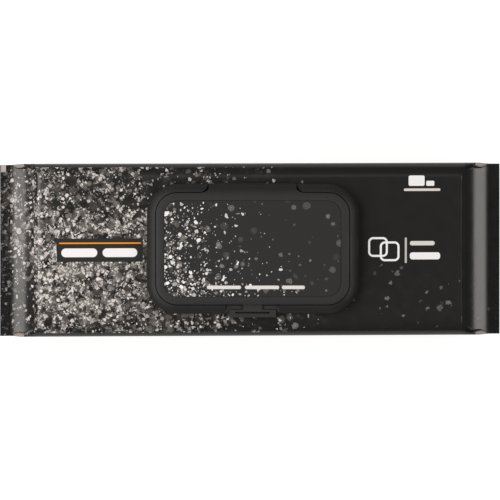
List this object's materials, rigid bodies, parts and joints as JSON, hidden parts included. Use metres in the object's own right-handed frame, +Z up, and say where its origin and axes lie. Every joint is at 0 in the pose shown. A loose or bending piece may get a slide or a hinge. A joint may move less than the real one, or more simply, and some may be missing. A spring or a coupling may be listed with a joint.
{
  "type": "wet wipes pack",
  "caption": "Flow-wrapped film pack of folded wet wipes lying flat, with crimped end fins and a hinged plastic flip-top closure over its dispensing mouth.",
  "frame": {"origin": "centre of the pack's footprint, on the surface that it lies on", "axes": "+X along the pack to the fin at the lid label's right, +Y to the lid's hinge, +Z up through the lid"},
  "size_m": [0.3, 0.103, 0.06],
  "materials": {
    "printed_film": "satin printed laminate film, near black with a pale grey speckle",
    "wet_cloth": "damp white nonwoven",
    "hot_melt": "pale hot-melt adhesive",
    "moulded_cap": "fine-textured moulded polypropylene, near black",
    "printed_label": "satin printed label, dark grey with a pale grey speckle"
  },
  "bodies": {
    "pack": {"film_wrap": "printed_film", "wipes_stack": "wet_cloth", "top_wipe": "wet_cloth", "glue_ring": "hot_melt", "cap_frame": "moulded_cap"},
    "lid": {"cap_lid": "moulded_cap", "lid_label": "printed_label"}
  },
  "joints": [
    {"name": "lid_hinge", "type": "hinge", "parent": "pack", "child": "lid", "pos_m": [0.0017, 0.039, 0.0525], "axis": [-1, 0, 0], "range_deg": [0, 120]}
  ]
}
